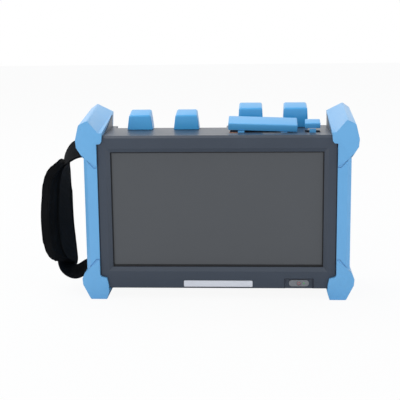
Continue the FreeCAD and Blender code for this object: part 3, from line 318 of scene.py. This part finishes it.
def welded_copy(node, name, material, body, rounding=0.0):
    """A CAD piece's copy, its triangles joined and its sharp edges rounded, in its place."""
    piece = new_piece(name, nodes[node].data.copy())
    bpy.ops.object.mode_set(mode="EDIT")
    bpy.ops.mesh.select_all(action="SELECT")
    bpy.ops.mesh.remove_doubles(threshold=0.000012)
    bpy.ops.mesh.dissolve_limited(angle_limit=math.radians(1))
    bpy.ops.object.mode_set(mode="OBJECT")
    if rounding:
        apply_modifier(piece, "BEVEL", width=rounding, segments=3, limit_method="ANGLE",
                       angle_limit=math.radians(24))
    bpy.ops.object.shade_smooth_by_angle(angle=math.radians(28))
    piece.data.materials.clear()
    piece.data.materials.append(material)
    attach(piece, body)
    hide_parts(node)
    return piece


def trim_strip(name, corner, opposite, material):
    """A thin strip between two opposite corners, its edges softened, fixed to the housing."""
    low = Vector([min(pair) for pair in zip(corner, opposite)])
    high = Vector([max(pair) for pair in zip(corner, opposite)])
    bpy.ops.object.select_all(action="DESELECT")
    bpy.ops.mesh.primitive_cube_add(size=1, location=(low + high) / 2, scale=high - low)
    strip = bpy.context.object
    strip.name = name
    bpy.ops.object.transform_apply(location=True, rotation=True, scale=True)
    apply_modifier(strip, "BEVEL", width=0.0001, segments=2)
    bpy.ops.object.shade_smooth_by_angle(angle=math.radians(40))
    strip.data.materials.append(material)
    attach(strip, "housing")
    return strip


sky_rubber = moulded("sky_blue_rubber", (102, 176, 231), (107, 180, 234), (150, 204, 240), 0.42,
                     grains=1800.0, rounding=0.0006, coat=0.55)
# painted shadow: a dark navy for strips laid where gaps and recesses fall into shade
shadow_gap = moulded("shadow_gap", (20, 26, 42), (24, 30, 46), (34, 40, 54), 0.7)
shell_low, shell_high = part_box("front_housing")
bezel_front = shell_low.y
strip_wide = 0.0177                      # from the boot's outermost point to its inner edge
groove_half, groove_deep = 0.0003, 0.0024
for side, outward in (("left", -1), ("right", 1)):
    boot = welded_copy(f"bumper_{side}", f"bumper_boot_{side}", sky_rubber, "housing",
                       rounding=0.001)
    low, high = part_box(f"bumper_{side}")
    inner = (high.x if outward > 0 else low.x) - outward * strip_wide

    # the mould's parting groove steps across the strip under and over each corner block
    for level, rise in ((0.0351, -1), (0.1150, 1)):
        line = [(inner - outward * 0.001, level), (inner + outward * 0.0028, level),
                (inner + outward * 0.0125, level + rise * 0.0108)]
        outline = [(x, z + groove_half) for x, z in line]
        outline += [(x, z - groove_half) for x, z in reversed(line)]
        groove = bmesh.new()
        front, back = ([groove.verts.new((x, y, z)) for x, z in outline]
                       for y in (low.y - 0.001, low.y + groove_deep))
        groove.faces.new(front)
        groove.faces.new(reversed(back))
        for k in range(len(outline)):
            after = (k + 1) % len(outline)
            groove.faces.new((front[k], back[k], back[after], front[after]))
        bmesh.ops.recalc_face_normals(groove, faces=groove.faces)
        cut_away(boot, groove)

    # a thin dark strip is painted shadow in the gap between the boot and the bezel
    foot, head = 0.0215, shell_high.z - 0.0069
    gap = trim_strip(f"boot_gap_shadow_{side}",
                     (inner - outward * 0.00085, bezel_front - 0.00025, foot),
                     (inner + outward * 0.00005, bezel_front + 0.0003, head), shadow_gap)

# ---- screws on the back ----------------------------------------------------------
# Zinc-plated pan-head screws with a cross recess close the housing and hold the
# battery cover.


def cross_recess(piece, spots, wide, deep):
    """Cut a cross into each screw head; a spot is the middle of a head's outer face."""
    blade, narrowed = 0.24, 0.6          # width of one blade and of the floor, as shares
    crosses = bmesh.new()
    for spot in spots:
        for across, up in ((wide, wide * blade), (wide * blade, wide)):
            for vertex in bmesh.ops.create_cube(crosses, size=1)["verts"]:
                x, y, z = vertex.co
                share = 1 if y > 0 else narrowed
                corner = Vector((x * across * share, y * 2 * deep, z * up * share))
                vertex.co = Vector(spot) + corner
    cut_away(piece, crosses, overlapping=True)


# node, radius of its heads and width of its crosses
for node, radius, wide in (("housing_screws", 0.00247, 0.0028),
                           ("battery_cover_screws", 0.00114, 0.0013)):
    heads = welded_copy(node, f"{node}_crossed", zinc, "housing")
    low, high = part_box(node)
    levels = sorted({low.z + radius, high.z - radius})      # one or two rows of heads
    cross_recess(heads, [(x, high.y, z) for x in (low.x + radius, high.x - radius)
                         for z in levels], wide, wide * 0.35)

# ---- screen --------------------------------------------------------------------
# An anti-glare touch glass in front of the unlit display, set in a thin black
# rubber gasket behind the window of the front shell.
glass = moulded("unlit_touch_glass", (78, 81, 85), (79, 82, 86), (84, 86, 88), 0.3,
                depth=0.0, rounding=0.0001, wear=0.0, patchy=False)
dress(glass, "touch_panel")
black_rubber = moulded("black_rubber", (12, 13, 17), (15, 16, 20), (34, 36, 40), 0.7)
dress(black_rubber, "screen_gasket")
display = moulded("display_back", (40, 42, 44), (46, 48, 50), (80, 80, 80), 0.4)
dress(display, "lcd_module")

# ---- label plate, power key and status light -------------------------------------
# A bare pale nameplate let into the bezel, and a grey pill beside it that
# carries the round power key and a green light.
plate = moulded("pale_label", (226, 229, 238), (229, 232, 240), (238, 240, 244), 0.35)
dress(plate, "label_plate")
grey = moulded("grey_key_plate", (122, 125, 130), (130, 133, 138), (160, 161, 164), 0.45)
dress(grey, "key_surround", "power_button")
green = moulded("green_lens", (96, 168, 104), (104, 176, 112), (150, 200, 150), 0.25)
dress(green, "status_lens")

# thin dark strips outline the recess round the pill: painted shadow of its walls
low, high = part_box("key_surround")
recess_left, recess_right = low.x - 0.0040, high.x + 0.0041
wall_foot, wall_head = shell_low.z + 0.0004, high.z + 0.0012
for name, left, right, foot, head in (
        ("left", recess_left, low.x - 0.0035, wall_foot, wall_head),
        ("right", high.x + 0.0032, recess_right, wall_foot, wall_head),
        ("top", recess_left, recess_right, high.z + 0.0009, high.z + 0.0014)):
    recess_shade_strip = trim_strip(f"key_recess_shadow_{name}", (left, bezel_front - 0.00018, foot),
                     (right, bezel_front + 0.0002, head), shadow_gap)

# the power mark is printed on the key: a ring open at its top, with a bar in the opening
red = moulded("red_print", (168, 60, 58), (176, 66, 62), (190, 90, 84), 0.5)
low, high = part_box("power_button")
middle = (low + high) / 2
print_y = low.y - 0.00002
ring_radius, ring_wide, opening_half = 0.00135, 0.00035, 0.0003
bar_half, bar_tall, bar_height = 0.00017, 0.0006, 0.0009
bpy.ops.object.select_all(action="DESELECT")
bpy.ops.mesh.primitive_circle_add(vertices=40, radius=ring_radius, fill_type="NGON",
                                  location=(middle.x, print_y, middle.z),
                                  rotation=(math.pi / 2, 0, 0))
mark = bpy.context.object
mark.name = "power_mark"
bpy.ops.object.transform_apply(location=True, rotation=True, scale=True)
bpy.ops.object.mode_set(mode="EDIT")
bpy.ops.mesh.select_all(action="SELECT")
bpy.ops.mesh.inset(thickness=ring_wide)
bpy.ops.mesh.delete(type="FACE")
bpy.ops.object.mode_set(mode="OBJECT")
shell = bmesh.new()
shell.from_mesh(mark.data)
opening = []
for face in shell.faces:
    centre = face.calc_center_median()
    if abs(centre.x - middle.x) < opening_half and centre.z > middle.z:
        opening.append(face)
bmesh.ops.delete(shell, geom=opening, context="FACES")
for vertex in bmesh.ops.create_grid(shell, x_segments=1, y_segments=1, size=1)["verts"]:
    vertex.co = Vector((middle.x + vertex.co.x * bar_half, print_y,
                        middle.z + bar_height + vertex.co.y * bar_tall))
shell.to_mesh(mark.data)
shell.free()
apply_modifier(mark, "SOLIDIFY", thickness=0.00004)
mark.data.materials.append(red)
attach(mark, "power_key")

# ---- optical ports ---------------------------------------------------------------
# Nickel-plated adapters stand in square wells along the top.  A deeper blue
# rubber hood covers each, tied by a strip that is screwed to the shell.
blue_rubber = moulded("blue_cap_rubber", (62, 168, 232), (66, 172, 235), (140, 198, 240), 0.4,
                      grains=1800.0, wear=0.45, coat=0.7)
nickel = plated("nickel_plate", (196, 186, 160), (206, 200, 180), 0.2, 0.34)
for number in range(1, 5):
    welded_copy(f"dust_cap_{number}", f"cap_hood_{number}", blue_rubber, f"cap_{number}",
                rounding=0.0009)
    dress(blue_rubber, f"cap_tether_{number}")
    dress(nickel, f"optical_adapter_{number}")

# ---- data and power ports ----------------------------------------------------------
# Three data sockets under a long rubber flap and a round power jack under a
# small one.  Both flaps hang on moulded tabs and stand a little open.
cover_rubber = moulded("blue_cover_rubber", (82, 172, 232), (87, 176, 235), (146, 200, 240), 0.42,
                       grains=1800.0, rounding=0.0004, wear=0.45, coat=0.6)
welded_copy("data_port_cover", "data_flap", cover_rubber, "data_cover",
            rounding=0.0008)
welded_copy("power_port_cover", "power_flap", cover_rubber, "power_cover",
            rounding=0.0007)
dress(cover_rubber, "data_cover_tabs", "power_cover_tab")
dress(zinc, "usb_a_port", "usb_b_port", "network_port")
jack_black = moulded("black_nylon", (26, 27, 29), (32, 33, 35), (70, 70, 72), 0.4)
dress(jack_black, "power_jack")

# an orange moisture seal shows under the raised corner of the long flap
orange = moulded("orange_seal", (164, 106, 76), (172, 114, 82), (190, 134, 100), 0.5)
low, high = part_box("data_port_cover")
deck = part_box("socket_panel")[1].z
trim_strip("flap_seal", (low.x + 0.0012, low.y + 0.0004, deck - 0.0002),
           (low.x + 0.0084, low.y + 0.0016, deck + 0.0004), orange)

# a thin dark strip on the deck under the flap's front edge is painted shadow; the front edge
# presses it when the flap is shut
deck_shadow = trim_strip("flap_shadow_strip", (low.x + 0.0110, low.y + 0.0011, deck - 0.0002),
                  (high.x - 0.0040, low.y + 0.0033, deck + 0.00025), shadow_gap)

# ---- inside the housing ------------------------------------------------------------
# Boards in green solder mask, the aluminium bracket and optical module, and
# the black battery, spool, switch and speaker.
board_green = moulded("green_solder_mask", (24, 82, 52), (28, 90, 58), (90, 130, 90), 0.35)
dress(board_green, "main_board", "key_board", "socket_board")
aluminium = moulded("mill_aluminium", (176, 178, 182), (186, 188, 190), (210, 210, 212), 0.36)
set_shader(aluminium.node_tree, Metallic=1)
dress(aluminium, "lcd_bracket", "optical_module")
dress(jack_black, "battery_pack", "fibre_spool", "key_switch", "loudspeaker")

# ---- strap webbing -------------------------------------------------------------------
# Black nylon webbing runs from a steel bar in the side of the housing, at the top
# and at the foot, to the pad.  It leaves the boot a little twisted.

# nylon weave: ribs across the strip and finer threads along it, from 0 to 1
weave, given, made = new_group(
    "nylon_weave", (("Ribs per Metre", 900.0), ("Threads per Metre", 1500.0)),
    ("Height", "Shade"))
thread_height = 0.35                     # as a share of a rib's
where = add_node(weave, "UVMap").outputs["UV"]
split = add_node(weave, "SeparateXYZ", Vector=where)
waves = []
for socket, rate in ((split.outputs["X"], given.outputs["Threads per Metre"]),
                     (split.outputs["Y"], given.outputs["Ribs per Metre"])):
    turns = maths(weave, "MULTIPLY", socket, rate)
    waves.append(maths(weave, "SINE", maths(weave, "MULTIPLY", turns, 2 * math.pi)))
crossed = maths(weave, "MULTIPLY_ADD", waves[0], thread_height, waves[1])
level = add_node(weave, "MapRange", Value=crossed, From_Min=-1 - thread_height,
                 From_Max=1 + thread_height)
uneven = add_node(weave, "TexNoise", Vector=where, Scale=90.0, Detail=4.0)
feed(weave, made.inputs["Height"], level.outputs["Result"])
feed(weave, made.inputs["Shade"], uneven.outputs["Fac"])

webbing, tree = new_material("black_nylon_webbing")
cloth = add_node(tree, "Group", {"node_tree": weave})
gloss = add_node(tree, "MapRange", Value=cloth.outputs["Height"], To_Min=0.85, To_Max=0.65)
bump = add_node(tree, "Bump", Height=cloth.outputs["Height"], Distance=0.0003, Strength=0.8)
set_shader(tree, Base_Color=two_tone(tree, cloth.outputs["Shade"], (12, 13, 15), (24, 26, 29)),
           Roughness=gloss.outputs["Result"], Normal=bump.outputs[0], Specular_IOR_Level=0.04)


def ribbon(name, stations, replaced=None):
    """A strap of even thickness through (near edge, far edge) stations, smoothed in length."""
    across = 8
    shell = bmesh.new()
    weft = shell.loops.layers.uv.new("weave")
    rows, length, before = [], 0.0, None
    for near, far in stations:
        near, far = Vector(near), Vector(far)
        middle = (near + far) / 2
        length += (middle - before).length if before else 0
        before = middle
        row = [shell.verts.new(near.lerp(far, i / across)) for i in range(across + 1)]
        rows.append((length, row, (far - near).length))
    for (start, first, wide), (finish, second, _) in zip(rows, rows[1:]):
        for i in range(across):
            face = shell.faces.new((first[i], first[i + 1], second[i + 1], second[i]))
            corners = ((i, start), (i + 1, start), (i + 1, finish), (i, finish))
            for loop, (u, v) in zip(face.loops, corners):
                loop[weft].uv = (u / across * wide, v)
    strap = new_piece(name, mesh_of(name, shell))
    apply_modifier(strap, "SUBSURF", levels=2, render_levels=2)
    apply_modifier(strap, "SOLIDIFY", thickness=0.0018, offset=0.0)
    apply_modifier(strap, "BEVEL", width=0.0005, segments=2)
    bpy.ops.object.shade_smooth()
    strap.data.materials.append(webbing)
    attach(strap, "housing")
    if replaced:
        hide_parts(replaced)


# x and z of the near edge and of the far edge, from the bar to the pad
upper_edges = (
    (-0.0905, 0.1219, -0.0905, 0.1275), (-0.0955, 0.1220, -0.0960, 0.1286),
    (-0.0995, 0.1218, -0.1010, 0.1299), (-0.1025, 0.1212, -0.1055, 0.1319),
    (-0.1053, 0.1204, -0.1098, 0.1323), (-0.1078, 0.1192, -0.1132, 0.1302),
    (-0.1103, 0.1178, -0.1166, 0.1257), (-0.1130, 0.1160, -0.1195, 0.1198),
    (-0.1162, 0.1132, -0.1206, 0.1130))
lower_edges = (
    (-0.0905, 0.0178, -0.0905, 0.0220), (-0.0960, 0.0174, -0.0960, 0.0229),
    (-0.1000, 0.0166, -0.1000, 0.0233), (-0.1034, 0.0146, -0.1034, 0.0235),
    (-0.1066, 0.0130, -0.1067, 0.0213), (-0.1100, 0.0123, -0.1100, 0.0188),
    (-0.1140, 0.0130, -0.1132, 0.0176), (-0.1176, 0.0148, -0.1165, 0.0186),
    (-0.1210, 0.0176, -0.1194, 0.0212), (-0.1236, 0.0216, -0.1212, 0.0250),
    (-0.1249, 0.0280, -0.1216, 0.0300))
front_y, back_y = -0.0148, 0.0102
for end, edges in (("upper", upper_edges), ("lower", lower_edges)):
    ribbon(f"webbing_{end}", [((near_x, front_y, near_z), (far_x, back_y, far_z))
                              for near_x, near_z, far_x, far_z in edges], f"strap_webbing_{end}")

# ---- strap pad ------------------------------------------------------------------------
# A foam pad in black neoprene with a bound edge, bowed away from the housing so
# that a hand slips through.  It is inflated as cloth, then stitched round.
neoprene, tree = new_material("black_neoprene")
texture = add_node(tree, "Group", {"node_tree": grain}, Grains_per_Metre=1600,
                   Patches_per_Metre=45)
bump = add_node(tree, "Bump", Height=texture.outputs["Height"], Distance=0.0002, Strength=0.7)
set_shader(tree, Base_Color=two_tone(tree, texture.outputs["Patches"], (14, 15, 16), (22, 23, 25)),
           Roughness=0.85, Normal=bump.outputs[0], Specular_IOR_Level=0.04)

# middle of the pad's thickness along its front and back edges, as (x, z)
front_edge = ((-0.1165, 0.1180), (-0.1254, 0.1090), (-0.1296, 0.0970), (-0.1319, 0.0730),
              (-0.1318, 0.0550), (-0.1304, 0.0430), (-0.1278, 0.0373), (-0.1232, 0.0345))
back_edge = ((-0.1204, 0.1150), (-0.1203, 0.1050), (-0.1200, 0.0890), (-0.1194, 0.0710),
             (-0.1184, 0.0530), (-0.1172, 0.0370), (-0.1160, 0.0245), (-0.1145, 0.0125))
pad_near, pad_far = -0.0283, 0.0227
pad_half = 0.0034                        # half the thickness
pad_wide, pad_long = 0.051, 0.098        # laid flat


def along(edge, share):
    """A smooth point on an edge, share 0 at its top and 1 at its foot."""
    span = min(share, 0.9999) * (len(edge) - 1)
    start = int(span)
    t = span - start
    a, b, c, d = (Vector(edge[min(max(start + k, 0), len(edge) - 1)]) for k in (-1, 0, 1, 2))
    return 0.5 * (2 * b + (c - a) * t + (2 * a - 5 * b + 4 * c - d) * t * t
                  + (3 * b - a - 3 * c + d) * t ** 3)


def pad_point(across, down):
    """A point of the pad's middle surface, by its shares of the way back and down."""
    front, back = along(front_edge, down), along(back_edge, down)
    place = front.lerp(back, across)
    return Vector((place.x, pad_near + across * (pad_far - pad_near), place.y))


def pad_normal(across, down):
    """The direction out of the pad towards the hand."""
    step = 0.01
    over = pad_point(min(across + step, 1), down) - pad_point(max(across - step, 0), down)
    fall = pad_point(across, min(down + step, 1)) - pad_point(across, max(down - step, 0))
    return over.cross(fall).normalized() * -1


def rounded_share(across, down):
    """The same place on a pad whose corners are rounded off."""
    end = max(0, 2 * abs(down - 0.5) - 0.8) / 0.2
    side = max(0, 2 * abs(across - 0.5) - 0.55) / 0.45
    return across + (0.5 - across) * 0.16 * end ** 2, down + (0.5 - down) * 0.09 * side ** 3


bpy.ops.object.select_all(action="DESELECT")
bpy.ops.mesh.primitive_grid_add(x_subdivisions=18, y_subdivisions=34, size=1)
pad = bpy.context.object
pad.name = "strap_pad_padded"
for vertex in pad.data.vertices:
    vertex.co = pad_point(*rounded_share(vertex.co.x + 0.5, 0.5 - vertex.co.y))
apply_modifier(pad, "SOLIDIFY", thickness=2 * pad_half, offset=0.0)
apply_modifier(pad, "REMESH", mode="VOXEL", voxel_size=0.0022)
most = 0.0009                        # the pressure may move no point further than this
start = [vertex.co.copy() for vertex in pad.data.vertices]
sim = pad.modifiers.new("cloth", "CLOTH")
sim.settings.use_pressure = True
sim.settings.uniform_pressure_force = 4
sim.settings.effector_weights.gravity = 0
for step in range(1, 21):
    bpy.context.scene.frame_set(step)
bpy.ops.object.modifier_apply(modifier=sim.name)
bpy.context.scene.frame_set(1)
for vertex, was in zip(pad.data.vertices, start):
    move = vertex.co - was
    if move.length > most:
        vertex.co = was + move.normalized() * most
apply_modifier(pad, "SUBSURF", levels=1, render_levels=1)

# a sewn channel runs round both faces, 6 mm in from the edge
columns, steps = 40, 60
plan = KDTree((columns + 1) * (steps + 1))
for i in range(columns + 1):
    for k in range(steps + 1):
        plan.insert(pad_point(i / columns, k / steps), i * (steps + 1) + k)
plan.balance()
seam, sink, reach = 0.0062, 0.0008, 0.0017
for vertex in pad.data.vertices:
    _, index, _ = plan.find(vertex.co)
    across, down = index // (steps + 1) / columns, index % (steps + 1) / steps
    inset = min(min(across, 1 - across) * pad_wide, min(down, 1 - down) * pad_long)
    off = abs(inset - seam)
    if off < reach:
        vertex.co -= vertex.normal * sink * (0.5 + 0.5 * math.cos(math.pi * off / reach))
bpy.ops.object.shade_smooth()
pad.data.materials.append(neoprene)
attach(pad, "housing")
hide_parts("strap_pad")

# what is sewn to the pad lies on its skin
skin = BVHTree.FromObject(pad, bpy.context.evaluated_depsgraph_get())
clear = 0.012                            # from the middle surface to well outside the pad


def loop_shares(inset_across, inset_down, count):
    """Places round the pad, a constant share in from its edge, with rounded corners."""
    places = []
    for k in range(count):
        angle = 2 * math.pi * k / count
        x, y = math.cos(angle), math.sin(angle)
        far = (abs(x) ** 7 + abs(y) ** 7) ** (-1 / 7)
        places.append((0.5 + x * far * (0.5 - inset_across), 0.5 + y * far * (0.5 - inset_down)))
    return places


# the webbing goes on down the inner face, to just short of both ends
stations = []
stretches = 14
for k in range(stretches + 1):
    down = 0.03 + 0.94 * k / stretches
    edges = []
    for across in (0.30, 0.78):
        middle, out_way = pad_point(across, down), pad_normal(across, down)
        edges.append(skin.ray_cast(middle + out_way * clear, out_way * -1)[0] + out_way * 0.0006)
    stations.append(edges)
ribbon("webbing_sewn_to_pad", stations)

# stitches in the channel of both faces
pitch, stitch_long, stitch_wide, stitch_high = 0.0032, 0.0021, 0.0005, 0.0004
thread = bmesh.new()
for face_side in (1, -1):
    ring = []
    for across, down in loop_shares(0.122, 0.063, 720):
        middle, out_way = pad_point(across, down), pad_normal(across, down) * face_side
        hit, _, _, _ = skin.ray_cast(middle + out_way * clear, out_way * -1)
        if hit:
            ring.append((hit, out_way))
    travelled = 0.0
    for (spot, out_way), (after, _) in zip(ring, ring[1:] + ring[:1]):
        travelled += (after - spot).length
        if travelled < pitch:
            continue
        travelled = 0.0
        forward = (after - spot).normalized()
        sideways = forward.cross(out_way)
        for vertex in bmesh.ops.create_cube(thread, size=1)["verts"]:
            x, y, z = vertex.co
            vertex.co = (spot + forward * x * stitch_long + sideways * y * stitch_wide
                         + out_way * (0.0001 + z * stitch_high))
bmesh.ops.recalc_face_normals(thread, faces=thread.faces)
stitches = new_piece("pad_stitches", mesh_of("pad_stitches", thread))
apply_modifier(stitches, "BEVEL", width=0.00012, segments=2)
stitches.data.materials.append(webbing)
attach(stitches, "housing")

# a cord piped round the edge of each face
for face_side, name in ((1, "pad_piping_inner"), (-1, "pad_piping_outer")):
    points = []
    for across, down in loop_shares(0.022, 0.012, 160):
        face_point = pad_point(across, down) + pad_normal(across, down) * face_side * pad_half
        spot, outward, _, _ = skin.find_nearest(face_point)
        points.append(spot + outward * 0.0001)
    line = bpy.data.curves.new(name, "CURVE")
    line.dimensions = "3D"
    line.bevel_depth = 0.0007
    line.bevel_resolution = 2
    spline = line.splines.new("POLY")
    spline.points.add(len(points) - 1)
    for point, place in zip(spline.points, points):
        point.co = (*place, 1)
    spline.use_cyclic_u = True
    piping = new_piece(name, line)
    bpy.ops.object.convert(target="MESH")
    bpy.ops.object.shade_smooth()
    piping.data.materials.append(neoprene)
    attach(piping, "housing")

# ---- size -------------------------------------------------------------------------------
low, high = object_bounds()
